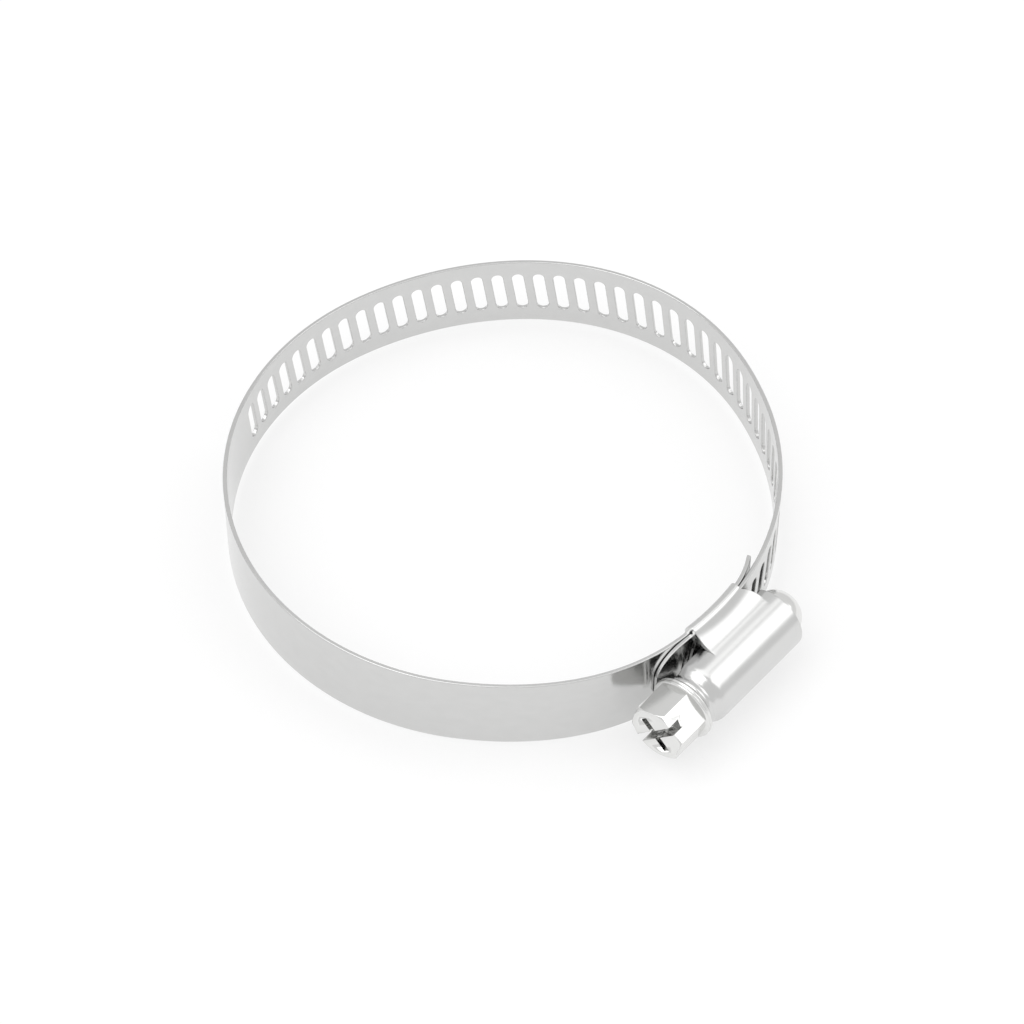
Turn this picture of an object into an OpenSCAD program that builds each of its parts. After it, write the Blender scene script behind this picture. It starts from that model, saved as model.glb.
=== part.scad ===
// Worm-drive hose clamp: a perforated band, a pressed housing and a captive worm screw.
// The origin is the centre of the hose bore at mid-width, +Z is the bore axis and +X points
// from the bore to the screw. Angles are degrees about +Z, counted from +X.
// The band starts under the housing as the fixed end, runs once round the hose as a chain of
// hinged links, and comes back over the fixed end as the free end that the worm draws in.

/* [Band] */
// Radius of the hose bore, with the clamp open as drawn
bore_r = 39.2; // [38:0.1:42]
// Width of the band
band_w = 12.7; // [9:0.1:15]
// Thickness of the band
band_t = 0.6; // [0.5:0.05:0.8]
// How far the free end swells outwards past the housing, before it comes back to the bore
bulge_h = 1.5; // [0:0.1:3]

/* [Slots] */
// Distance from one slot to the next, which is also the pitch of the worm's thread
pitch = 3.175; // [3:0.005:3.3]
// Width of a slot
slot_w = 1.8; // [1.6:0.05:2]
// Length of a slot
slot_l = 7.3; // [6:0.1:8]
// Lean of a slot, to match the lead of the thread
slot_lean = 8; // [6:0.5:9]

/* [Worm screw] */
// Outside radius of the thread
thread_r = 3.9; // [3.7:0.05:4]
// Radius of the screw between the threads
core_r = 3.1; // [2.8:0.05:3.2]
// How far the crest of the thread dips into the slots
dip = 0.4; // [0.3:0.05:0.5]
// Hexagon size across the flats
hex_af = 8; // [7:0.5:8.5]
// Length of the hexagon
hex_l = 5.6; // [5:0.1:7]
// Radius of the washer face behind the hexagon
flange_r = 4.95; // [4.5:0.05:4.95]

/* [Housing] */
// Outside radius of the arch over the screw
arch_r = 5; // [4.95:0.05:6]
// Thickness of the pressed sheet
sheet_t = 0.8; // [0.6:0.05:0.9]
// Length of the legs that wrap the edges of the band
leg_l = 12; // [10:0.5:14]
// Thickness of the lips that the legs fold under the band
lip_t = 0.4; // [0.3:0.05:0.45]

/* [Hidden] */
$fn = 64;

// Layers at the housing, outwards from the bore
lift = 0.55; // from the bore to the fixed end
layer_gap = 0.05; // between the fixed end and the free end
lip_gap = 0.02; // between the lips and the fixed end

// The housing sits a little off the X axis, and the band's curve there has its own centre
housing_y = -1;
feed_x = -3;
centre = [feed_x, housing_y];
free_r = bore_r + lift + band_t + layer_gap - feed_x;
fixed_r = bore_r + lift - feed_x;
free_mid_r = free_r + band_t / 2;
axis_x = feed_x + free_r + band_t + thread_r - dip;

// Stations round the band, as angles from +X: the free end is joined to the links at join_a,
// the band lies on the bore circle from circle_a to circle_b, and meets the fixed end at root_a
join_a = 59.1;
circle_a = 164;
circle_b = 302;
root_a = 346;

// Between those stations the band is divided into cells about one slot pitch long, counted from
// the fixed end. Those below last_slot_a are perforated
head_cells = 9;
circle_cells = 30;
bulge_cells = 24;
last_slot_a = 202;
// Cells at which the links begin. Links 1 to 6 are a chain from the fixed end, and links 8 and 7
// are a chain from the free end. The chains meet without a hinge, at the far end of link open_end
link_cells = [0, 9, 18, 24, 30, 36, 48, 57];
links = len(link_cells);
open_end = 6;

hinge_gap = 0.08;
open_gap = 0.45;
tongue_y = 12; // the fixed end's tip, from the housing's middle
tail_y = -11.4; // the free end's tip, from the housing's middle
tail_corner_r = 5;

// Lengths along the screw, from the housing's middle
arch_tip_y = 8.9;
shoulder_y = -8.6;
shoulder_end_y = -11.2;
shoulder_r = 4.3;
neck_r = 3.15;
neck_hole_r = 3.35;
flange_y = -11.4;
flange_t = 1.1;
head_turn = 48; // from +X towards +Z, to the middle of a flat and the blade slot
thread_y0 = -8;
thread_y1 = 8.6;
dome_r = 3.8;
leg_shift = 0.9; // the legs sit this far towards the screw's tip
slice_deg = 30; // turn of the thread between two slices
arc_step = 12; // degrees between points on computed arcs
outline_step = 1.2; // degrees between points on the band's outline

function two_digits(i) = str(i < 10 ? "0" : "", i);
LINKS = [for (i = [1:links]) str("band_link_", two_digits(i))];

// ---- Outline of the band's inner surface, as a distance from the origin at angle a ----

function unit(a) = [cos(a), sin(a)];
// A circle about the feed centre, as seen from the origin
function arc_at(r, a) = centre * unit(a) + sqrt(r * r - centre * centre + pow(centre * unit(a), 2));
function arc_slope(r, a) = (arc_at(r, a + 0.01) - arc_at(r, a - 0.01)) / 0.02;
// Falls smoothly from height h and slope m, at u = 0, to nothing at u = 1
function settle(u, h, m) = h * (2 * pow(u, 3) - 3 * u * u + 1) + m * u * pow(1 - u, 2);
// A hump of height 1 that starts and ends flat
function hump(u) = 28.94 * u * u * pow(1 - u, 3);
bulge_span = circle_a - join_a;
head_span = root_a - circle_b;
function bulge_at(u) =
    settle(u, arc_at(free_r, join_a) - bore_r, arc_slope(free_r, join_a) * bulge_span)
    + bulge_h * hump(u);
function head_at(u) =
    settle(u, arc_at(fixed_r, root_a) - bore_r, -arc_slope(fixed_r, root_a) * head_span);
function outline_at(a) = bore_r
    + (a < circle_a ? bulge_at((a - join_a) / bulge_span)
        : a > circle_b ? head_at((root_a - a) / head_span) : 0);
function point_at(a) = outline_at(a) * unit(a);

// Angles that cut the outline from a0 to a1 into n equal lengths
function lengths(a0, a1, steps = 240) =
    let (da = (a1 - a0) / steps)
    [for (i = 0, a = a0, s = 0; i <= steps;
        s = s + norm(point_at(a + da) - point_at(a)), a = a + da, i = i + 1) [s, a]];
function equal_cuts(a0, a1, n) =
    let (table = lengths(a0, a1), whole = table[len(table) - 1][0])
    [for (i = [0:n]) lookup(whole * i / n, table)];
function all_but_last(list) = [for (i = [0:len(list) - 2]) list[i]];
cell_a = concat(
    all_but_last(equal_cuts(root_a, circle_b, head_cells)),
    all_but_last(equal_cuts(circle_b, circle_a, circle_cells)),
    equal_cuts(circle_a, join_a, bulge_cells));
hinge_cell = concat(link_cells, [len(cell_a) - 1]);
hinge_a = [for (c = hinge_cell) cell_a[c]];

function angle_of(v) = atan2(v[1], v[0]);
// Direction square to the outline, outwards
function outward_a(a) = angle_of(point_at(a + 0.05) - point_at(a - 0.05)) - 90;
function outer_at(a) = point_at(a) + band_t * unit(outward_a(a));
// Degrees at the origin for a length of the outline about angle a
function degrees_for(length, a) = length / norm(point_at(a + 0.5) - point_at(a - 0.5));

// ---- The free end's slots and the worm's phase ----

slot_deg = pitch / free_mid_r * 180 / PI;
join_feed_a = angle_of(point_at(join_a) - centre);
free_slots = floor((join_feed_a - asin((tail_y + 3) / free_mid_r)) / slot_deg);
function free_slot_a(k) = join_feed_a - (k + 0.5) * slot_deg;
mesh_slot_a = free_slot_a(round(join_feed_a / slot_deg - 0.5));
mesh_y = free_mid_r * sin(mesh_slot_a);

// ---- Shared shapes ----

// A strip of band about the local origin, from angle a0 to a1, with its inner face at radius r
module strip(r, a0, a1) {
    rotate([0, 0, a0])
        rotate_extrude(angle = a1 - a0)
            translate([r, -band_w / 2])
                square([band_t, band_w]);
}

// One slanted slot with round ends, cut through a strip whose inner face is at radius r
module slot(r) {
    half = (slot_l - slot_w) / 2;
    translate([r - 1, 0, 0])
        rotate([-slot_lean, 0, 0]) {
            translate([0, -slot_w / 2, -half])
                cube([band_t + 2, slot_w, 2 * half]);
            for (z = [-half, half])
                translate([0, 0, z])
                    rotate([0, 90, 0])
                        cylinder(r = slot_w / 2, h = band_t + 2);
        }
}

// What rounding takes off the corners of a strip's end, which lies at the local y = 0
module corner_waste(r) {
    for (side = [-1, 1])
        scale([1, 1, side])
            translate([r - 1, -1, band_w / 2 - tail_corner_r])
                difference() {
                    cube([band_t + 2, tail_corner_r + 1, tail_corner_r + 1]);
                    translate([-1, tail_corner_r + 1, 0])
                        rotate([0, 90, 0])
                            cylinder(r = tail_corner_r, h = band_t + 4);
                }
}

// Places its children at the housing's middle, with the feed centre as the origin
module at_feed() {
    translate([centre[0], centre[1], 0]) children();
}

// Places its children on the screw's axis, with their z axis along +Y
module on_screw(y) {
    translate([axis_x, housing_y + y, 0]) rotate([-90, 0, 0]) children();
}

// ---- The band ----

function feed_angle(y, r) = asin(y / r);

module band_fixed_end() {
    root_feed_a = angle_of(point_at(root_a) - centre);
    gap_a = hinge_gap / 2 / fixed_r * 180 / PI;
    color("silver")
        at_feed()
            strip(fixed_r, root_feed_a + gap_a, feed_angle(tongue_y, fixed_r));
}

module band_free_end() {
    tip_a = feed_angle(tail_y, free_r);
    gap_a = hinge_gap / 2 / free_r * 180 / PI;
    color("silver")
        at_feed()
            difference() {
                strip(free_r, tip_a, join_feed_a - gap_a);
                for (k = [0:free_slots - 1])
                    rotate([0, 0, free_slot_a(k)]) slot(free_r);
                rotate([0, 0, tip_a]) corner_waste(free_r);
            }
}

// Places its children on the outline at angle a, with their x axis outwards
module on_outline(a) {
    translate(concat(point_at(a), [0])) rotate([0, 0, outward_a(a)]) children();
}

// Band along the outline from angle a0 to a smaller angle a1
module outline_strip(a0, a1) {
    n = ceil((a0 - a1) / outline_step);
    angles = [for (i = [0:n]) a0 + (a1 - a0) * i / n];
    translate([0, 0, -band_w / 2])
        linear_extrude(height = band_w)
            polygon(concat(
                [for (a = angles) point_at(a)],
                [for (i = [n:-1:0]) outer_at(angles[i])]));
}

// Link i runs from its near end at cell hinge_cell[i - 1] to its far end at hinge_cell[i], and
// its hinge axes are on its inner face
module band_link(i) {
    near_gap = i == open_end + 1 ? open_gap : hinge_gap;
    far_gap = i == open_end ? open_gap : hinge_gap;
    near_a = hinge_a[i - 1] - degrees_for(near_gap / 2, hinge_a[i - 1]);
    far_a = hinge_a[i] + degrees_for(far_gap / 2, hinge_a[i]);
    color("gainsboro")
        difference() {
            if (near_a <= circle_b && far_a >= circle_a)
                strip(bore_r, far_a, near_a);
            else
                outline_strip(near_a, far_a);
            for (c = [hinge_cell[i - 1]:hinge_cell[i] - 1]) {
                a = (cell_a[c] + cell_a[c + 1]) / 2;
                if (a < last_slot_a) on_outline(a) slot(0);
            }
        }
}

// ---- The housing ----

// Points on an arc, after its first one
function arc_on(c, r, a0, a1) =
    let (n = ceil(abs(a1 - a0) / arc_step))
    [for (i = [1:n]) c + r * unit(a0 + (a1 - a0) * i / n)];

// Section of the flared flanks, inset by d from the outside face. Points are [x, z]: each
// flank leaves the arch on a concave fillet and rolls over to stand on a leg
leg_z = band_w / 2 + 0.15 + sheet_t;
leg_top_r = free_r + band_t + 0.45;
fillet_r = 1.2;
roll_r = 0.9;
fillet_x = feed_x + leg_top_r + fillet_r - 0.1;
fillet_z = sqrt(pow(arch_r + fillet_r, 2) - pow(axis_x - fillet_x, 2));
roll_x = fillet_x - fillet_r - roll_r;
flank_x = roll_x - 0.3;
inside_arch = 0.5;
function flank_half(d) =
    let (join = atan2(fillet_z, fillet_x - axis_x))
    concat(
        [[axis_x, 0], [axis_x, 0] + (arch_r - d - inside_arch) * unit(join)],
        arc_on([fillet_x, fillet_z], fillet_r + d, join - 180, -180),
        [[fillet_x - fillet_r - d, leg_z - roll_r]],
        arc_on([roll_x, leg_z - roll_r], roll_r - d, 0, 90),
        [[flank_x - d, leg_z - d]]);
function mirrored(points) = [for (i = [len(points) - 1:-1:1]) [points[i][0], -points[i][1]]];
module section(d) {
    half = flank_half(d);
    polygon(concat(half, mirrored(half)));
}

module along_y(y0, y1) {
    translate([0, housing_y + y1, 0])
        rotate([90, 0, 0])
            linear_extrude(height = y1 - y0)
                children();
}

// Two legs round the band's edges, curved with the band, each with its lip under the fixed end
module legs() {
    lip_r = fixed_r - lip_gap - lip_t;
    a0 = feed_angle(leg_shift - leg_l / 2, fixed_r);
    a1 = feed_angle(leg_shift + leg_l / 2, fixed_r);
    round_r = 0.9;
    lip_w = 2.6;
    at_feed()
        rotate([0, 0, a0])
            rotate_extrude(angle = a1 - a0)
                for (side = [-1, 1])
                    scale([1, side])
                        difference() {
                            union() {
                                translate([lip_r + round_r, leg_z - round_r])
                                    circle(r = round_r);
                                translate([lip_r + round_r, leg_z - round_r])
                                    square([leg_top_r - lip_r - round_r, round_r]);
                                translate([lip_r, leg_z - sheet_t - lip_w])
                                    square([leg_top_r - lip_r, lip_w + sheet_t - round_r]);
                            }
                            translate([lip_r + lip_t, leg_z - sheet_t - lip_w - 1])
                                square([leg_top_r, lip_w + 1]);
                        }
}

// The shoulder that closes the arch down to a hole for the screw's neck
module shoulder() {
    bend_r = shoulder_y - shoulder_end_y;
    on_screw(shoulder_end_y)
        rotate_extrude()
            polygon(concat(
                [[neck_hole_r, 0]],
                [for (a = [0:arc_step:90])
                    [shoulder_r + (arch_r - shoulder_r) * sin(a), bend_r * (1 - cos(a))]],
                [[arch_r, bend_r + 0.1], [arch_r - sheet_t, bend_r + 0.1],
                 [arch_r - sheet_t, 1.6], [neck_hole_r, sheet_t]]));
}

module housing() {
    arch_open_x = axis_x - 2.6;
    flank_y0 = leg_shift - leg_l / 2 + 0.2;
    flank_y1 = leg_shift + leg_l / 2 - 0.2;
    color("lightgray")
        difference() {
            union() {
                along_y(flank_y0, flank_y1) section(0);
                difference() {
                    union() {
                        on_screw(shoulder_y)
                            cylinder(r = arch_r, h = arch_tip_y - shoulder_y);
                        shoulder();
                    }
                    translate([arch_open_x - 20, housing_y - 20, -10]) cube([20, 40, 20]);
                }
                legs();
            }
            along_y(flank_y0 - 1, flank_y1 + 1) section(sheet_t);
            on_screw(shoulder_y - 0.1)
                cylinder(r = arch_r - sheet_t, h = arch_tip_y - shoulder_y + 1);
            at_feed()
                rotate_extrude()
                    translate([fixed_r - 0.01, -band_w / 2 - 0.1])
                        square([2 * band_t + layer_gap + 0.25, band_w + 0.2]);
        }
}

// ---- The worm screw ----

// Section of a thread with one start: the ridge is widest at its root
module thread_section() {
    crest_half = 48;
    root_half = 108;
    polygon([for (a = [-180:arc_step:179])
        let (rise = (root_half - abs(a)) / (root_half - crest_half))
        (core_r + (thread_r - core_r) * max(0, min(1, rise))) * unit(a)]);
}

module thread() {
    length = thread_y1 - thread_y0;
    turns = length / pitch;
    on_screw(thread_y0)
        rotate([0, 0, -180 - 360 * (mesh_y - thread_y0) / pitch])
            linear_extrude(height = length, twist = -360 * turns, slices = ceil(turns * 360 / slice_deg))
                thread_section();
}

module hex_head() {
    hex_r = hex_af / 2 / cos(30);
    chamfer = 0.6;
    on_screw(flange_y - flange_t - hex_l)
        intersection() {
            rotate([0, 0, 30 - head_turn]) cylinder(r = hex_r, h = hex_l + 0.1, $fn = 6);
            rotate_extrude()
                polygon([[0, 0], [hex_af / 2 - 0.1, 0], [hex_r + 0.05, chamfer + 0.2],
                         [hex_r + 0.05, hex_l + 0.1], [0, hex_l + 0.1]]);
        }
}

// A blade slot across the face, through two of the flats, with a cross recess at its middle
module drive_recess() {
    slot_d = 2.2;
    on_screw(flange_y - flange_t - hex_l)
        rotate([0, 0, -head_turn]) {
            translate([-hex_af, -0.65, -1]) cube([2 * hex_af, 1.3, 1 + slot_d]);
            for (turn = [0, 90])
                rotate([0, 0, turn])
                    translate([-3, -0.5, -1]) cube([6, 1, 1 + 1.4 * slot_d]);
        }
}

module worm_screw() {
    color("whitesmoke")
        difference() {
            union() {
                thread();
                on_screw(thread_y1 - 0.2)
                    cylinder(r = dome_r, h = 0.2 + 0.4);
                on_screw(thread_y1 + 0.4)
                    sphere(r = dome_r);
                on_screw(flange_y - 0.1)
                    cylinder(r = neck_r, h = thread_y0 - flange_y + 0.2);
                on_screw(flange_y - flange_t)
                    cylinder(r = flange_r, h = flange_t);
                hex_head();
            }
            drive_recess();
        }
}

// ---- Output, one node at a time ----

housing();
worm_screw();
band_fixed_end();
band_free_end();
for (i = [1:links])
    band_link(i);
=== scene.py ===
# Worm-drive hose clamp, looks only: the frame supplies the bodies and joints.
# Lengths are millimetres until they reach a mesh, where MM turns them into metres.
import math

import bmesh
import bpy
import numpy as np
from mathutils import Matrix, Vector


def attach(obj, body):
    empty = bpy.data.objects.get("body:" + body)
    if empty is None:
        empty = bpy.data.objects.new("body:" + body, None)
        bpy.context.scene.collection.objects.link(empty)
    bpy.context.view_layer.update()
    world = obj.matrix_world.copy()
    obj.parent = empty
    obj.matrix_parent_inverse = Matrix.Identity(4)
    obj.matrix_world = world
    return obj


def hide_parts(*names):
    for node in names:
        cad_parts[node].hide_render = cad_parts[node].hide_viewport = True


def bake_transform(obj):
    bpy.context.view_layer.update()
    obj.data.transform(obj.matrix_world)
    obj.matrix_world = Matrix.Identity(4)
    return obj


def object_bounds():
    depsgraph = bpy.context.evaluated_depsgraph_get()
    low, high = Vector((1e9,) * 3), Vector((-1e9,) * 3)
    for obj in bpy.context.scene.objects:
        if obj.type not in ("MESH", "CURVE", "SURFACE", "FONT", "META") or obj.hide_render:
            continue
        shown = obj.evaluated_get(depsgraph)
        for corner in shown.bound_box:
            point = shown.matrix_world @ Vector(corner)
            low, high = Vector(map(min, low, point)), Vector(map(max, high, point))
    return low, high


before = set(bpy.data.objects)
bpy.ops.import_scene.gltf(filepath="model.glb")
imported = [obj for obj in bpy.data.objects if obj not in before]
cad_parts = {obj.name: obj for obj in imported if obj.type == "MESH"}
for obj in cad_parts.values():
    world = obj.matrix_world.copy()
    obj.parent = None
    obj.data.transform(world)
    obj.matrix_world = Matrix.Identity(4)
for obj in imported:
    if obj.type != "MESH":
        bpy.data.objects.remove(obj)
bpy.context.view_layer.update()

MM = 0.001

# ---- Driving dimensions, the same as the CAD's ----

BORE_R = 39.2
BAND_W = 12.7
BAND_T = 0.6
BULGE_H = 1.5
PITCH = 3.175
SLOT_W = 1.8
SLOT_L = 7.3
SLOT_LEAN = math.radians(8)
LIFT = 0.55
LAYER_GAP = 0.05
LIP_GAP = 0.02
LIP_T = 0.4
SHEET_T = 0.8
HOUSING_Y = -1.0
FEED_X = -3.0
FREE_R = BORE_R + LIFT + BAND_T + LAYER_GAP - FEED_X
FIXED_R = BORE_R + LIFT - FEED_X
FREE_MID_R = FREE_R + BAND_T / 2
THREAD_R = 3.9
CORE_R = 3.1
DIP = 0.4
AXIS_X = FEED_X + FREE_R + BAND_T + THREAD_R - DIP
ARCH_R = 5.0
TAIL_Y = -11.4
TONGUE_Y = 12.0
CIRCLE_A = 164.0
CIRCLE_B = 302.0
LAST_SLOT_A = 202.0
ROOT_A = 346
JOIN_A = 59.1
HEAD_CELLS, CIRCLE_CELLS, BULGE_CELLS = 9, 30, 24
HEX_AF = 8.0
HEX_L = 5.6
FLANGE_R = 4.95
FLANGE_Y = -11.4
FLANGE_T = 1.1
FEED_CENTRE = np.array([FEED_X, HOUSING_Y])

# ---- Small helpers ----


def unit(degrees):
    return np.array([math.cos(math.radians(degrees)), math.sin(math.radians(degrees))])


def angle_of(v):
    return math.degrees(math.atan2(v[1], v[0]))


def outward(tangent):
    """The normal on the right-hand side of a tangent, in the plane of the ring."""
    n = np.array([tangent[1], -tangent[0]])
    return n / np.linalg.norm(n)


def new_object(name, data):
    obj = bpy.data.objects.new(name, data)
    bpy.context.scene.collection.objects.link(obj)
    return obj


def object_from(name, mesh, smooth=False):
    """An object with a bmesh's faces. The bmesh is freed."""
    data = bpy.data.meshes.new(name)
    mesh.to_mesh(data)
    mesh.free()
    if smooth:
        data.shade_smooth()
    return new_object(name, data)


def angle_at(y, r):
    """Angle at which a circle of radius r about the feed centre is y past the housing's middle."""
    return math.degrees(math.asin(y / r))


# ---- The band's outline, as the CAD has it ----


def arc_at(r, a):
    along = FEED_CENTRE @ unit(a)
    return along + math.sqrt(r * r - FEED_CENTRE @ FEED_CENTRE + along * along)


def arc_slope(r, a):
    return (arc_at(r, a + 0.01) - arc_at(r, a - 0.01)) / 0.02


def settle(u, h, m):
    """Falls smoothly from height h and slope m, at u = 0, to nothing at u = 1."""
    return h * (2 * u**3 - 3 * u * u + 1) + m * u * (1 - u) ** 2


def hump(u):
    """Rises from nothing to 1 and back, without a slope at either end."""
    return 28.94 * u * u * (1 - u) ** 3


def outline_at(a):
    if a < CIRCLE_A:
        span = CIRCLE_A - JOIN_A
        u = (a - JOIN_A) / span
        start = arc_at(FREE_R, JOIN_A) - BORE_R
        return BORE_R + settle(u, start, arc_slope(FREE_R, JOIN_A) * span) + BULGE_H * hump(u)
    if a > CIRCLE_B:
        span = ROOT_A - CIRCLE_B
        u = (ROOT_A - a) / span
        start = arc_at(FIXED_R, ROOT_A) - BORE_R
        return BORE_R + settle(u, start, -arc_slope(FIXED_R, ROOT_A) * span)
    return BORE_R


def point_at(a):
    return outline_at(a) * unit(a)


def equal_cuts(a0, a1, n):
    """Angles that cut the outline from a0 to a1 into n equal lengths."""
    angles = np.linspace(a0, a1, 241)
    points = np.array([point_at(a) for a in angles])
    lengths = np.append(0, np.cumsum(np.linalg.norm(np.diff(points, axis=0), axis=1)))
    return list(np.interp(np.linspace(0, lengths[-1], n + 1), lengths, angles))


# The band's cells, each about one slot pitch long, from the fixed end to the free end
CELL_A = (
    equal_cuts(ROOT_A, CIRCLE_B, HEAD_CELLS)[:-1]
    + equal_cuts(CIRCLE_B, CIRCLE_A, CIRCLE_CELLS)[:-1]
    + equal_cuts(CIRCLE_A, JOIN_A, BULGE_CELLS)
)
JOIN_CELL = len(CELL_A) - 1
# Cells at which the links begin and end, and the link at whose far end the two chains meet
LINK_CELLS = [0, 9, 18, 24, 30, 36, 48, 57, JOIN_CELL]
OPEN_END = 6
JOIN_FEED_A = angle_of(point_at(JOIN_A) - FEED_CENTRE)
PITCH_A = PITCH / math.radians(FREE_MID_R)


def arc_place(r):
    """Inner face's point and outward normal at an angle about the feed centre."""
    return lambda a: (FEED_CENTRE + r * unit(a), unit(a))


def ring_place(u):
    """The same at -u cells from the fixed end, on the links' outline or past it on the free end."""
    if u < -JOIN_CELL:
        return arc_place(FREE_R)(JOIN_FEED_A + (u + JOIN_CELL) * PITCH_A)
    a = float(np.interp(-u, range(JOIN_CELL + 1), CELL_A))
    return point_at(a), outward(point_at(a + 0.05) - point_at(a - 0.05))


# ---- Strips of band, with slots, rolled edges and true normals ----

EDGE = 0.13  # how far the band's edges are rounded
CAP_POINTS = 6  # points on a quarter of a slot's round end


def stadium(extra):
    """Left side of a slot from its lower end to its upper end, before it leans."""
    r = SLOT_W / 2 + extra
    half = (SLOT_L - SLOT_W) / 2
    turn = [math.pi / 2 * i / CAP_POINTS for i in range(CAP_POINTS + 1)]
    lower = [(-r * math.sin(t), -half - r * math.cos(t)) for t in turn]
    upper = [(-r * math.cos(t), half + r * math.sin(t)) for t in turn]
    return lower + [(-r, -half / 3), (-r, half / 3)] + upper


def lean(x, z):
    """Turns a point of an upright slot by the slots' lean."""
    c, s = math.cos(SLOT_LEAN), math.sin(SLOT_LEAN)
    return x * c + z * s, z * c - x * s


class Strip:
    """A mesh of band: flat coordinates are an angle a and a height z, h goes from inner to outer face."""

    def __init__(self, place, mm_per_degree, half_width=lambda a: BAND_W / 2):
        self.place = place
        self.mm_per_degree = mm_per_degree
        self.half_width = half_width
        self.points, self.normals, self.uvs, self.faces = [], [], [], []
        self.found = {}
        self.rows = [z for _, z in stadium(EDGE)]

    def vertex(self, a, z, h, normal):
        """normal is (along a, along z, outwards)."""
        key = (round(a, 5), round(z, 4), round(h, 4), tuple(round(c, 2) for c in normal))
        if key not in self.found:
            p, n = self.place(a)
            t = np.array([-n[1], n[0]])
            flat = p + h * n
            direction = normal[0] * t + normal[2] * n
            self.found[key] = len(self.points)
            self.points.append((flat[0] * MM, flat[1] * MM, z * MM))
            self.normals.append((direction[0], direction[1], normal[1]))
            self.uvs.append((a * self.mm_per_degree / 100, z / 100))
        return self.found[key]

    def face(self, *ids):
        ids = [v for i, v in enumerate(ids) if v != ids[i - 1]]
        if len(ids) > 2:
            self.faces.append(ids)

    def column(self, a, layer):
        """Vertices across the strip at angle a: layer 1 is the outer face, 0 the inner one."""
        w = self.half_width(a)
        squeeze = min(1, (w - EDGE) / (BAND_W / 2 - EDGE))
        zs = [-w + EDGE] + [z * squeeze for z in self.rows] + [w - EDGE]
        return [self.vertex(a, z, layer * BAND_T, (0, 0, 2 * layer - 1)) for z in zs]

    def quads(self, left, right, layer):
        for i in range(len(left) - 1):
            ids = (left[i], right[i], right[i + 1], left[i + 1])
            self.face(*(ids if layer else ids[::-1]))

    def edges(self, a0, a1):
        """The rounded long edges between two columns."""
        for side in (-1, 1):
            rings = []
            for a in (a0, a1):
                w = self.half_width(a) * side
                inset = w - EDGE * side
                rings.append([
                    self.vertex(a, inset, BAND_T, (0, 0, 1)),
                    self.vertex(a, w, BAND_T - EDGE, (0, side, 0)),
                    self.vertex(a, w, EDGE, (0, side, 0)),
                    self.vertex(a, inset, 0, (0, 0, -1)),
                ])
            for i in range(3):
                ids = (rings[0][i], rings[1][i], rings[1][i + 1], rings[0][i + 1])
                self.face(*(ids[::-1] if side > 0 else ids))

    def plain(self, a0, a1, steps):
        """Solid band from angle a0 to a larger angle a1."""
        angles = [a0 + (a1 - a0) * i / steps for i in range(steps + 1)]
        for a, b in zip(angles, angles[1:]):
            for layer in (0, 1):
                self.quads(self.column(a, layer), self.column(b, layer), layer)
            self.edges(a, b)

    def slotted(self, a0, a1):
        """One pitch of band with its slot."""
        middle = (a0 + a1) / 2
        per_mm = 1 / self.mm_per_degree
        edges_a = [a0, middle, a1]
        for layer in (0, 1):
            left, right = self.column(a0, layer), self.column(a1, layer)
            ring = {}
            for side in (-1, 1):
                ring[side] = []
                for x, z in stadium(EDGE):
                    u, v = lean(-side * x, z)
                    ring[side].append(
                        self.vertex(middle + u * per_mm, v, layer * BAND_T, (0, 0, 2 * layer - 1))
                    )
            self.quads(left[1:-1], ring[-1], layer)
            self.quads(ring[1], right[1:-1], layer)
            w = self.half_width(middle)
            for end, z in ((0, -w + EDGE), (-1, w - EDGE)):
                tip = ring[1][end]
                rim = self.vertex(middle, z, layer * BAND_T, (0, 0, 2 * layer - 1))
                inner = 1 if end == 0 else -2
                for ids in ((left[end], rim, tip, left[inner]), (rim, right[end], right[inner], tip)):
                    forward = (layer == 1) == (end == 0)
                    self.face(*(ids if forward else ids[::-1]))
        for a, b in zip(edges_a, edges_a[1:]):
            self.edges(a, b)
        self.slot_walls(middle, per_mm)

    def slot_walls(self, middle, per_mm):
        outer, wall = stadium(EDGE), stadium(0)
        loop = [(-1, i) for i in range(len(wall))] + [(1, i) for i in reversed(range(1, len(wall) - 1))]
        rings = []
        for side, i in loop:
            x, z = outer[i]
            wx, wz = wall[i]
            into = np.array([wx - x, wz - z]) / max(1e-9, math.hypot(wx - x, wz - z))
            u, v = lean(-side * x, z)
            wu, wv = lean(-side * wx, wz)
            nu, nv = lean(-side * into[0], into[1])
            rings.append([
                self.vertex(middle + u * per_mm, v, BAND_T, (0, 0, 1)),
                self.vertex(middle + wu * per_mm, wv, BAND_T - EDGE, (nu, nv, 0)),
                self.vertex(middle + wu * per_mm, wv, EDGE, (nu, nv, 0)),
                self.vertex(middle + u * per_mm, v, 0, (0, 0, -1)),
            ])
        for k, ring in enumerate(rings):
            following = rings[(k + 1) % len(rings)]
            for i in range(3):
                self.face(ring[i], following[i], following[i + 1], ring[i + 1])

    def inner_end(self, a, side):
        """Closes the strip where another piece goes on; side is 1 at the larger angle."""
        w = self.half_width(a)
        top = self.column(a, 1)
        bottom = self.column(a, 0)
        walls = [
            self.vertex(a, s * w, h, (0, s, 0))
            for s, h in ((1, BAND_T - EDGE), (1, EDGE), (-1, EDGE), (-1, BAND_T - EDGE))
        ]
        ids = top + walls[:2] + bottom[::-1] + walls[2:]
        self.face(*(ids[::-1] if side < 0 else ids))

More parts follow.
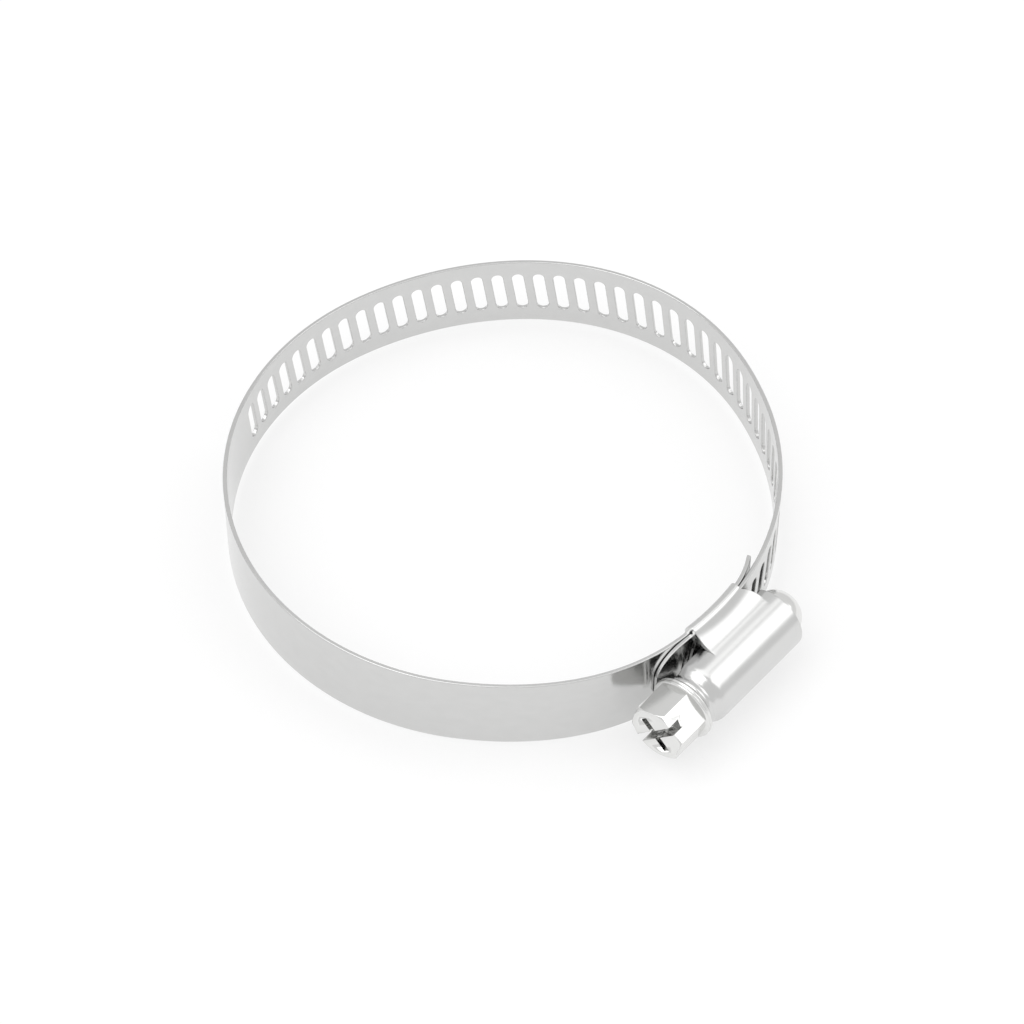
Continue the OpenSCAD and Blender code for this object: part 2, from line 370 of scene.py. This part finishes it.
    def outer_end(self, a, side):
        """Closes the strip with a rounded edge that stands proud of angle a."""
        end = a + side * EDGE / self.mm_per_degree
        top, bottom = self.column(a, 1), self.column(a, 0)
        w = self.half_width(a)
        zs = [self.points[i][2] / MM for i in top]
        high = [self.vertex(end, z, BAND_T - EDGE, (side, 0, 0)) for z in zs]
        low = [self.vertex(end, z, EDGE, (side, 0, 0)) for z in zs]
        for upper, lower in ((top, high), (high, low), (low, bottom)):
            for i in range(len(zs) - 1):
                ids = (upper[i], lower[i], lower[i + 1], upper[i + 1])
                self.face(*(ids if side > 0 else ids[::-1]))
        for s, i in ((-1, 0), (1, -1)):
            corner = [self.vertex(a, s * w, h, (0, s, 0)) for h in (BAND_T - EDGE, EDGE)]
            for ids in ((top[i], corner[0], high[i]), (high[i], corner[0], corner[1], low[i]),
                        (low[i], corner[1], bottom[i])):
                self.face(*(ids if s * side > 0 else ids[::-1]))

    def turned(self, ids):
        """A face's vertices in the order that faces it the way its normals point."""
        corners = [np.array(self.points[i]) for i in ids]
        facing = sum(np.cross(p - corners[0], q - corners[0]) for p, q in zip(corners[1:], corners[2:]))
        lit = sum(np.array(self.normals[i]) for i in ids) / len(ids)
        return ids[::-1] if np.linalg.norm(lit) > 0.2 and np.dot(facing, lit) < 0 else ids

    def build(self, name):
        self.faces = [self.turned(ids) for ids in self.faces]
        mesh = bpy.data.meshes.new(name)
        mesh.from_pydata(self.points, [], self.faces)
        mesh.validate()
        layer = mesh.uv_layers.new(name="Lengthwise")
        for loop in mesh.loops:
            layer.data[loop.index].uv = self.uvs[loop.vertex_index]
        mesh.shade_smooth()
        mesh.normals_split_custom_set_from_vertices([Vector(n).normalized() for n in self.normals])
        return new_object(name, mesh)


# ---- The band's pieces ----

STEPS_PER_CELL = 3
CELL_MM = PITCH * 0.995
SEAM_CELL = JOIN_CELL + 3  # where the band over the last hinge passes to the free end's piece


def cells(strip, first, last):
    """Adds the band's cells from one number to another."""
    for c in range(first, last):
        if c >= JOIN_CELL or (CELL_A[c] + CELL_A[c + 1]) / 2 < LAST_SLOT_A:
            strip.slotted(-c - 1, -c)
        else:
            strip.plain(-c - 1, -c, STEPS_PER_CELL)


def make_ring():
    """One piece over each hinge, from the middle of a link to the middle of the next."""
    middles = [(a + b) // 2 for a, b in zip(LINK_CELLS, LINK_CELLS[1:])]
    open_cell = LINK_CELLS[OPEN_END]
    pieces = []
    for k in range(1, len(LINK_CELLS)):
        if k <= OPEN_END:
            first = middles[k - 2] if k > 1 else 0
            last = middles[k - 1] if k < OPEN_END else open_cell
            bend = (first, middles[k - 1])
        else:
            first = middles[k - 1] if k > OPEN_END + 1 else open_cell
            last = middles[k] if k < len(middles) else SEAM_CELL
            bend = (middles[k - 1], last)
        strip = Strip(ring_place, CELL_MM)
        cells(strip, first, last)
        strip.inner_end(-first, 1)
        strip.inner_end(-last, -1)
        piece = strip.build(f"band_piece_{k:02d}")
        ends = [(*ring_place(-cell)[0] * MM, 0) for cell in bend]
        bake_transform(piece)
        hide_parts(f"band_link_{k:02d}")
        pieces.append(piece)
    return pieces


TAIL_FLAT = 0.7  # half the straight part of the free end's tip
TAIL_LAND = 3  # at least this much of the free end, behind its tip, has no slots
TONGUE_CORNER = 1.2
TAIL_STEPS, TONGUE_STEPS, CORNER_STEPS = 14, 30, 8
BEND_Y = 5.5  # where the fixed end starts to bend in
TIP_BEND = 0.95  # how far its tip is bent in


def rounded_half_width(from_tip, corner):
    """Half the band's width at a distance from a tip with rounded corners."""
    reach = corner - min(corner, from_tip)
    return BAND_W / 2 - corner + math.sqrt(corner * corner - reach * reach)


def tail_half_width(a):
    """Half the free end's width: its tip is rounded off."""
    from_tip = (a - angle_at(TAIL_Y, FREE_R)) * math.radians(FREE_MID_R)
    return rounded_half_width(from_tip, BAND_W / 2 - TAIL_FLAT)


def make_free_end():
    per_degree = math.radians(FREE_MID_R)
    strip = Strip(arc_place(FREE_R), per_degree, tail_half_width)
    start = JOIN_FEED_A - (SEAM_CELL - JOIN_CELL) * PITCH_A
    tip = angle_at(TAIL_Y, FREE_R) + EDGE / per_degree
    slots = math.floor((JOIN_FEED_A - angle_at(TAIL_Y + TAIL_LAND, FREE_MID_R)) / PITCH_A)
    slots -= SEAM_CELL - JOIN_CELL
    for k in range(slots):
        strip.slotted(start - (k + 1) * PITCH_A, start - k * PITCH_A)
    last = start - slots * PITCH_A
    stops = [tip + (last - tip) * (1 - math.cos(i * math.pi / 2 / TAIL_STEPS)) for i in range(TAIL_STEPS + 1)]
    for a, b in zip(stops, stops[1:]):
        strip.plain(a, b, 1)
    strip.outer_end(tip, -1)
    strip.inner_end(start, 1)
    piece = strip.build("band_tail")
    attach(piece, "free_end")
    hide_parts("band_free_end")
    return piece


def tongue_half_width(a):
    """Half the fixed end's width, with small rounded corners at its tip."""
    from_tip = (angle_at(TONGUE_Y, FIXED_R) - a) * math.radians(FIXED_R)
    return rounded_half_width(from_tip, TONGUE_CORNER)


def tongue_place(a):
    """The fixed end's arc, with its tip bent in from the free end."""
    reach = max(0, FIXED_R * math.sin(math.radians(a)) - BEND_Y) / (TONGUE_Y - BEND_Y)
    p, n = arc_place(FIXED_R)(a)
    return p - TIP_BEND * reach**2 * n, n


def make_fixed_end():
    per_degree = math.radians(FIXED_R)
    strip = Strip(tongue_place, per_degree, tongue_half_width)
    start = angle_of(point_at(ROOT_A) - FEED_CENTRE)
    tip = angle_at(TONGUE_Y, FIXED_R) - EDGE / per_degree
    corner = TONGUE_CORNER / per_degree
    strip.plain(start, tip - corner, TONGUE_STEPS)
    stops = [tip - corner * math.cos(i * math.pi / 2 / CORNER_STEPS) for i in range(CORNER_STEPS + 1)]
    for a, b in zip(stops, stops[1:]):
        strip.plain(a, b, 1)
    strip.outer_end(tip, 1)
    strip.inner_end(start, -1)
    piece = strip.build("band_tongue")
    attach(piece, "housing_and_fixed_end")
    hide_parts("band_fixed_end")
    return piece


# ---- The housing: one pressed sheet ----

ARCH_TIP_Y = 8.9
SHOULDER_END_Y = -11.2
NECK_HOLE_R = 3.35
WING_Y0, WING_Y1 = -5.0, 7.3
LEG_TOP_R = FREE_R + BAND_T + 0.45  # arc about the feed centre that the rolls follow
ROLL_Z, ROLL_H = 6.2, 1.2
ROLL_START, ROLL_STEP = 40, 14  # degrees round the roll: where the flank meets it, and its facets
SIDE_PULL, FOOT_PULL = 1.3, 1.1  # a flank's Bezier handles: mm at the arch, times the slope at the roll
LIP_REACH = (0.8, 1.6, 2.2)
ROLL_BACK, BACK_FROM_Y = 2.0, 2.0  # how much shorter the roll is than the flank, and where that starts
FOLLOW_FROM, FOLLOW_OVER = 2, 7  # columns of a flank over which it comes to follow the arc
ARCH_OPEN_X = AXIS_X - 2.6  # where the arch's sides end, outside the flanks' length
ARCH_STEPS, CURL_STEPS, WING_STEPS = 14, 3, 12


def wing_points():
    """Outer face of a flank, from the arch's side to the edge of its lip, as (x, z)."""
    edge_x = FEED_X + LEG_TOP_R
    lip_x = FEED_X + FIXED_R - LIP_GAP - LIP_T
    middle, half = (edge_x + lip_x) / 2, (edge_x - lip_x) / 2

    def roll(t):
        return np.array([middle, ROLL_Z]) + (half, ROLL_H) * unit(t)

    # The flank leaves the arch straight inwards and runs into the roll along the roll's own slope
    top, foot = np.array([AXIS_X, ARCH_R]), roll(ROLL_START)
    slope = (half, -ROLL_H) * unit(90 - ROLL_START)
    ends = (top, top + (-SIDE_PULL, 0), foot + FOOT_PULL * slope, foot)
    points = []
    for t in np.linspace(0, 1, 10):
        weights = ((1 - t) ** 3, 3 * t * (1 - t) ** 2, 3 * t * t * (1 - t), t**3)
        points.append(sum(w * p for w, p in zip(weights, ends)))
    points += [roll(t) for t in range(ROLL_START + ROLL_STEP, 181, ROLL_STEP)]
    points += [np.array([lip_x, ROLL_Z - w]) for w in LIP_REACH]
    return points


def make_housing():
    join = 90  # degrees from the arch's top to its sides, where the flanks begin
    wing = wing_points()
    mesh = bmesh.new()
    # The arch necks down to a rolled collar, and the collar's end closes round the screw's neck
    shoulder = [(SHOULDER_END_Y, NECK_HOLE_R), (SHOULDER_END_Y, 3.7), (-11.18, 4.0), (-11.08, 4.22),
                (-10.85, 4.34), (-10.6, 4.33), (-10.35, 4.25), (-10.1, 4.2), (-9.85, 4.24), (-9.6, 4.36),
                (-9.35, 4.55), (-9.1, 4.74), (-8.8, 4.89), (-8.45, 4.97), (-8.1, ARCH_R)]
    rows = shoulder + [(y, ARCH_R) for y in (-7.4, -6.2, WING_Y0 - 0.5, WING_Y0)]
    wing_first = len(rows) - 1
    rows += [(WING_Y0 + (WING_Y1 - WING_Y0) * i / WING_STEPS, ARCH_R) for i in range(1, WING_STEPS + 1)]
    wing_last = len(rows) - 1
    rows += [(y, ARCH_R) for y in (WING_Y1 + 0.4, 8.1, 8.5, ARCH_TIP_Y)]
    vertices = {}

    def place(x, y, z):
        key = (round(x, 4), round(y, 4), round(z, 4))
        if key not in vertices:
            vertices[key] = mesh.verts.new((x * MM, (y + HOUSING_Y) * MM, z * MM))
        return vertices[key]

    def arch_point(row, a):
        y, r = rows[row]
        p = r * unit(a)
        return place(AXIS_X + p[0], y, p[1])

    def wing_point(row, column, side):
        y = rows[row][0]
        x, z = wing[column]
        # the roll is shorter than the flank below it, and its end is rounded off
        share = min(1, max(0, (column - FOLLOW_FROM) / FOLLOW_OVER))
        y -= ROLL_BACK * share**2 * max(0, (y - BACK_FROM_Y) / (WING_Y1 - BACK_FROM_Y))
        drop = math.sqrt(LEG_TOP_R**2 - y * y) - LEG_TOP_R
        return place(x + drop * share, y, side * z)

    def quad(a, b, c, d, flip):
        corners = [a, b, c, d] if not flip else [d, c, b, a]
        if len(set(corners)) == 4:
            mesh.faces.new(corners)

    for row in range(len(rows) - 1):
        for i in range(-ARCH_STEPS, ARCH_STEPS):
            a, b = join * i / ARCH_STEPS, join * (i + 1) / ARCH_STEPS
            quad(arch_point(row, a), arch_point(row, b), arch_point(row + 1, b), arch_point(row + 1, a), True)
        in_wing = wing_first <= row < wing_last
        for side in (-1, 1):
            if in_wing:
                for c in range(len(wing) - 1):
                    quad(wing_point(row, c, side), wing_point(row, c + 1, side),
                         wing_point(row + 1, c + 1, side), wing_point(row + 1, c, side), side > 0)
            else:
                ends = [math.degrees(math.acos(max(-1, (ARCH_OPEN_X - AXIS_X) / rows[r][1])))
                        for r in (row, row + 1)]
                for i in range(CURL_STEPS):
                    a = [join + (e - join) * i / CURL_STEPS for e in ends]
                    b = [join + (e - join) * (i + 1) / CURL_STEPS for e in ends]
                    quad(arch_point(row, side * a[0]), arch_point(row, side * b[0]),
                         arch_point(row + 1, side * b[1]), arch_point(row + 1, side * a[1]), side > 0)
    bmesh.ops.remove_doubles(mesh, verts=mesh.verts, dist=0.01 * MM)
    bmesh.ops.recalc_face_normals(mesh, faces=mesh.faces)
    obj = object_from("housing_shell", mesh, smooth=True)
    solid = obj.modifiers.new("sheet", "SOLIDIFY")
    solid.thickness = SHEET_T * MM
    solid.offset = -1
    solid.use_even_offset = True
    bevel = obj.modifiers.new("edges", "BEVEL")
    bevel.width = 0.14 * MM
    bevel.segments = 2
    bevel.limit_method = "ANGLE"
    bevel.angle_limit = math.radians(50)
    smooth = obj.modifiers.new("smooth", "SUBSURF")
    smooth.levels = 1
    smooth.render_levels = 2
    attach(obj, "housing_and_fixed_end")
    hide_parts("housing")
    return obj


# ---- The worm screw ----

HEAD_TURN = 48.0  # degrees from +X towards +Z, to the blade slot
BLADE_HALF, BLADE_DEPTH = 0.62, 2.1
NECK_R, NECK_L = 3.15, 4


def on_screw(obj, y):
    """Puts an object whose z axis is the screw's on the screw, with its origin at y."""
    obj.matrix_world = Matrix.Translation(Vector((AXIS_X, y + HOUSING_Y, 0)) * MM) @ Matrix.Rotation(
        math.radians(-90), 4, "X"
    )
    bpy.context.view_layer.update()
    obj.data.transform(obj.matrix_world)
    obj.matrix_world = Matrix.Identity(4)


def lathe(name, profile, steps=96):
    """A closed solid turned from (radius, height) points; it starts and ends on the axis."""
    mesh = bmesh.new()
    rings = []
    for r, h in profile:
        if r < 1e-6:
            rings.append([mesh.verts.new((0, 0, h * MM))])
        else:
            rings.append([mesh.verts.new((*(r * MM * unit(360 * i / steps)), h * MM)) for i in range(steps)])
    for low, high in zip(rings, rings[1:]):
        for i in range(steps):
            j = (i + 1) % steps
            ids = [low[i % len(low)], low[j % len(low)], high[j % len(high)], high[i % len(high)]]
            ids = [v for n, v in enumerate(ids) if v not in ids[:n]]
            if len(ids) > 2:
                mesh.faces.new(ids)
    bmesh.ops.recalc_face_normals(mesh, faces=mesh.faces)
    return object_from(name, mesh, smooth=True)


def prism(name, points, h0, h1):
    mesh = bmesh.new()
    low = [mesh.verts.new((x * MM, y * MM, h0 * MM)) for x, y in points]
    high = [mesh.verts.new((x * MM, y * MM, h1 * MM)) for x, y in points]
    mesh.faces.new(low[::-1])
    mesh.faces.new(high)
    for i in range(len(points)):
        j = (i + 1) % len(points)
        mesh.faces.new((low[i], low[j], high[j], high[i]))
    return object_from(name, mesh)


def boolean(obj, other, how):
    step = obj.modifiers.new("cut", "BOOLEAN")
    step.operation = how
    step.object = other
    step.solver = "EXACT"
    apply_modifiers(obj)
    bpy.data.objects.remove(other)


def apply_modifiers(obj):
    bpy.context.view_layer.update()
    graph = bpy.context.evaluated_depsgraph_get()
    done = bpy.data.meshes.new_from_object(obj.evaluated_get(graph))
    obj.modifiers.clear()
    obj.data = done


def soften(obj, width, segments=2, angle=30):
    bevel = obj.modifiers.new("edges", "BEVEL")
    bevel.width = width * MM
    bevel.segments = segments
    bevel.limit_method = "ANGLE"
    bevel.angle_limit = math.radians(angle)
    bevel.use_clamp_overlap = True
    # keeps the flats flat, with all of the turn in the softened edges
    weighted = obj.modifiers.new("normals", "WEIGHTED_NORMAL")
    weighted.mode = "FACE_AREA"
    weighted.weight = 100


def make_head():
    """The hexagon, chamfered at its face, with a blade slot and a cross recess."""
    r = HEX_AF / 2 / math.cos(math.radians(30))
    head = prism("screw_head", [r * unit(60 * i + 30) for i in range(6)], 0, HEX_L + 0.05)
    cone = lathe("cone", [(0, -0.05), (3.7, -0.05), (HEX_AF / 2 + 0.05, 0.1), (r + 0.05, 0.5),
                          (r + 0.4, 2), (r + 0.4, HEX_L + 1), (0, HEX_L + 1)], 96)
    boolean(head, cone, "INTERSECT")
    sides = [(-9, -BLADE_HALF), (9, -BLADE_HALF), (9, BLADE_HALF), (-9, BLADE_HALF)]
    slot = prism("slot", sides, -1, BLADE_DEPTH)
    boolean(head, slot, "DIFFERENCE")
    for turn in (0, 90):
        arm = taper_arm(turn)
        boolean(head, arm, "DIFFERENCE")
    head.data.transform(Matrix.Rotation(math.radians(-HEAD_TURN), 4, "Z"))
    for polygon in head.data.polygons:
        polygon.use_smooth = True
    on_screw(head, FLANGE_Y - FLANGE_T - HEX_L)
    soften(head, 0.12)
    return head


def taper_arm(turn):
    """A wedge for one arm of the cross recess: it narrows and shortens towards its bottom."""
    mesh = bmesh.new()
    sizes = ((-0.5, 3.1, 0.62), (2.9, 1.3, 0.35))
    rings = []
    for h, length, half in sizes:
        corners = ((-length, -half), (length, -half), (length, half), (-length, half))
        rings.append([mesh.verts.new((x * MM, y * MM, h * MM)) for x, y in corners])
    mesh.faces.new(rings[0][::-1])
    mesh.faces.new(rings[1])
    for i in range(4):
        j = (i + 1) % 4
        mesh.faces.new((rings[0][i], rings[0][j], rings[1][j], rings[1][i]))
    arm = object_from("arm", mesh)
    arm.data.transform(Matrix.Rotation(math.radians(turn), 4, "Z"))
    return arm


def make_flange():
    profile = [(0, 0), (4.2, 0), (4.6, 0.03), (4.85, 0.12), (FLANGE_R, 0.28), (4.93, 0.42), (4.78, 0.5),
               (4.78, 0.58), (4.9, 0.66), (FLANGE_R, 0.8), (4.88, 0.98), (4.6, 1.08), (4.2, FLANGE_T),
               (NECK_R, FLANGE_T + 0.02), (NECK_R, FLANGE_T + NECK_L), (0, FLANGE_T + NECK_L)]
    flange = lathe("screw_washer_face", profile, 128)
    on_screw(flange, FLANGE_Y - FLANGE_T)
    return flange


THREAD_Y0, THREAD_Y1 = -8.0, 8.6
RIDGE_TOP, RIDGE_FOOT = 48, 108  # degrees from the crest's middle between which the ridge falls
THREAD_STEPS, THREAD_RINGS, FADE_RINGS = 72, 150, 6


def thread_radius(phase):
    """Radius of the ridge at a phase in degrees from its crest."""
    off = abs((phase + 180) % 360 - 180)
    rise = (RIDGE_FOOT - off) / (RIDGE_FOOT - RIDGE_TOP)
    rise = max(0.0, min(1.0, rise))
    rise = rise * rise * (3 - 2 * rise)
    return CORE_R + (THREAD_R - CORE_R) * rise


def make_thread(mesh_y):
    """The worm: one start, right-handed, with its ridge in the slot at mesh_y."""
    length = THREAD_Y1 - THREAD_Y0
    mesh = bmesh.new()
    grid = []
    for k in range(THREAD_RINGS + 1):
        y = THREAD_Y0 + length * k / THREAD_RINGS
        fade = min(1, k / FADE_RINGS, (THREAD_RINGS - k) / FADE_RINGS)
        ring = []
        for i in range(THREAD_STEPS):
            a = 360 * i / THREAD_STEPS
            # the local z axis is +Y, and the local angle turns from +X towards -Z
            phase = a - 360 * (y - mesh_y) / PITCH - 180
            r = CORE_R + (thread_radius(phase) - CORE_R) * fade
            ring.append(mesh.verts.new((*(r * MM * unit(a)), (y - THREAD_Y0) * MM)))
        grid.append(ring)
    for low, high in zip(grid, grid[1:]):
        for i in range(THREAD_STEPS):
            j = (i + 1) % THREAD_STEPS
            mesh.faces.new((low[i], low[j], high[j], high[i]))
    mesh.faces.new(grid[0][::-1])
    mesh.faces.new(grid[-1])
    thread = object_from("screw_thread", mesh, smooth=True)
    on_screw(thread, THREAD_Y0)
    return thread


def make_dome():
    """The screw's tip, blunter than half a ball."""
    r, rise, land, fullness = 3.8, 3.4, 0.6, 0.8
    profile = [(0, -0.3), (r - 0.3, -0.3), (r, 0.0), (r, land)]
    for t in range(6, 90, 6):
        c, s = unit(t)
        profile.append((r * c**fullness, land + rise * s))
    profile.append((0, land + rise))
    dome = lathe("screw_tip", profile, 96)
    on_screw(dome, THREAD_Y1)
    return dome


def make_screw():
    # the slot nearest the housing's middle
    nearest = JOIN_FEED_A - (round(JOIN_FEED_A / PITCH_A - 0.5) + 0.5) * PITCH_A
    mesh_y = FREE_MID_R * math.sin(math.radians(nearest))
    parts = [make_head(), make_flange(), make_thread(mesh_y), make_dome()]
    for part in parts:
        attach(part, "screw")
        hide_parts("worm_screw")
    return parts


# ---- Materials ----


def node(tree, kind, **sockets):
    made = tree.nodes.new(kind)
    for name, value in sockets.items():
        made.inputs[name.replace("_", " ")].default_value = value
    return made


ROUGHNESS_SPREAD = (0.75, 1.35)  # times a steel's own roughness
DULL_TINT = 0.93
RELIEF_M = 0.00002


def steel(name, colour, roughness, grain, bump):
    """Bright stainless: roughness and bump vary with fine lines and faint handling marks."""
    material = bpy.data.materials.new(name)
    material.use_nodes = True
    tree = material.node_tree
    shader = tree.nodes["Principled BSDF"]
    shader.inputs["Metallic"].default_value = 1.0
    shader.inputs["Base Color"].default_value = (*colour, 1)
    link = tree.links.new
    if grain == "lengthwise":
        place = tree.nodes.new("ShaderNodeUVMap")
        place.uv_map = "Lengthwise"
        source = place.outputs["UV"]
        stretch = (8, 900, 1)
        broad = (40, 60, 1)
    else:
        place = tree.nodes.new("ShaderNodeTexCoord")
        source = place.outputs["Object"]
        stretch = (900, 120, 900)
        broad = (240, 240, 240)
    lines_map = node(tree, "ShaderNodeMapping", Scale=stretch)
    lines = node(tree, "ShaderNodeTexNoise", Scale=1.0, Detail=4.0, Roughness=0.6)
    marks_map = node(tree, "ShaderNodeMapping", Scale=broad)
    marks = node(tree, "ShaderNodeTexNoise", Scale=1.0, Detail=3.0, Roughness=0.55)
    link(source, lines_map.inputs["Vector"])
    link(source, marks_map.inputs["Vector"])
    link(lines_map.outputs["Vector"], lines.inputs["Vector"])
    link(marks_map.outputs["Vector"], marks.inputs["Vector"])
    rough = node(tree, "ShaderNodeMapRange")
    rough.inputs["To Min"].default_value = roughness * ROUGHNESS_SPREAD[0]
    rough.inputs["To Max"].default_value = roughness * ROUGHNESS_SPREAD[1]
    mix = tree.nodes.new("ShaderNodeMath")
    mix.operation = "ADD"
    half = tree.nodes.new("ShaderNodeMath")
    half.operation = "MULTIPLY"
    half.inputs[1].default_value = 0.5
    link(lines.outputs["Fac"], mix.inputs[0])
    link(marks.outputs["Fac"], mix.inputs[1])
    link(mix.outputs[0], half.inputs[0])
    link(half.outputs[0], rough.inputs["Value"])
    link(rough.outputs["Result"], shader.inputs["Roughness"])
    tint = tree.nodes.new("ShaderNodeMix")
    tint.data_type = "RGBA"
    tint.inputs["A"].default_value = (*[c * DULL_TINT for c in colour], 1)
    tint.inputs["B"].default_value = (*colour, 1)
    link(marks.outputs["Fac"], tint.inputs["Factor"])
    link(tint.outputs["Result"], shader.inputs["Base Color"])
    relief = node(tree, "ShaderNodeBump", Strength=bump, Distance=RELIEF_M)
    link(half.outputs[0], relief.inputs["Height"])
    link(relief.outputs["Normal"], shader.inputs["Normal"])
    return material


def finish_piece(obj, material):
    obj.data.materials.clear()
    obj.data.materials.append(material)


# ---- Studio ----

CAMERA_AZIMUTH = 40.2
CAMERA_ELEVATION = 49.8
CAMERA_DISTANCE = 525.5
CAMERA_LENS = 126.6
AIM = Vector((0.2, 1.18, 0)) * MM
SHIFT = (0.0070, -0.0207)


def turn_inwards(obj, azimuth, elevation):
    """Turns a camera or lamp to look back from a direction, and returns that direction."""
    a, e = math.radians(azimuth), math.radians(elevation)
    away = Vector((math.sin(a) * math.cos(e), -math.cos(a) * math.cos(e), math.sin(e)))
    obj.rotation_euler = (-away).to_track_quat("-Z", "Y").to_euler()
    return away


def make_camera():
    data = bpy.data.cameras.new("camera")
    data.lens = CAMERA_LENS
    data.shift_x, data.shift_y = SHIFT
    camera = new_object("camera", data)
    away = turn_inwards(camera, CAMERA_AZIMUTH, CAMERA_ELEVATION)
    camera.location = AIM + away * CAMERA_DISTANCE * MM
    bpy.context.scene.camera = camera


FLOOR_SIZE = 3  # metres
FLOOR_GAP = 0.00002
FLOOR_WHITE, FLOOR_GLOW = 0.35, 0.62


def make_floor():
    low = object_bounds()[0]
    mesh = bmesh.new()
    bmesh.ops.create_grid(mesh, x_segments=1, y_segments=1, size=FLOOR_SIZE)
    floor = object_from("floor", mesh)
    floor.location.z = low.z - FLOOR_GAP
    material = bpy.data.materials.new("floor_white")
    material.use_nodes = True
    shader = material.node_tree.nodes["Principled BSDF"]
    shader.inputs["Base Color"].default_value = (FLOOR_WHITE, FLOOR_WHITE, FLOOR_WHITE, 1)
    shader.inputs["Roughness"].default_value = 0.9
    shader.inputs["Specular IOR Level"].default_value = 0.1
    shader.inputs["Emission Color"].default_value = (1, 1, 1, 1)
    shader.inputs["Emission Strength"].default_value = FLOOR_GLOW
    floor.data.materials.append(material)


def softbox(name, azimuth, elevation, distance, size, power):
    data = bpy.data.lights.new(name, "AREA")
    data.shape = "RECTANGLE"
    data.size, data.size_y = size
    data.energy = power
    lamp = new_object(name, data)
    lamp.location = turn_inwards(lamp, azimuth, elevation) * distance


def make_light():
    world = bpy.data.worlds.new("studio")
    bpy.context.scene.world = world
    world.use_nodes = True
    background = world.node_tree.nodes["Background"]
    background.inputs["Color"].default_value = (1, 1, 1, 1)
    background.inputs["Strength"].default_value = 0.8
    softbox("key", CAMERA_AZIMUTH - 60, 60, 1.1, (0.9, 0.9), 3.5)
    softbox("fill", CAMERA_AZIMUTH + 90, 45, 1.2, (0.8, 0.8), 1.8)
    softbox("top", CAMERA_AZIMUTH + 180, 75, 1.2, (1.0, 0.7), 1.5)


def main():
    band_steel = steel("band_stainless", (0.66, 0.66, 0.655), 0.16, "lengthwise", 0.25)
    housing_steel = steel("housing_stainless", (0.70, 0.70, 0.695), 0.22, "along_screw", 0.2)
    screw_steel = steel("screw_stainless", (0.80, 0.80, 0.79), 0.18, "along_screw", 0.2)
    for piece in make_ring() + [make_free_end(), make_fixed_end()]:
        finish_piece(piece, band_steel)
    finish_piece(make_housing(), housing_steel)
    for piece in make_screw():
        finish_piece(piece, screw_steel)
    make_floor()
    make_light()
    make_camera()
    bpy.context.scene.view_settings.view_transform = "Standard"


main()
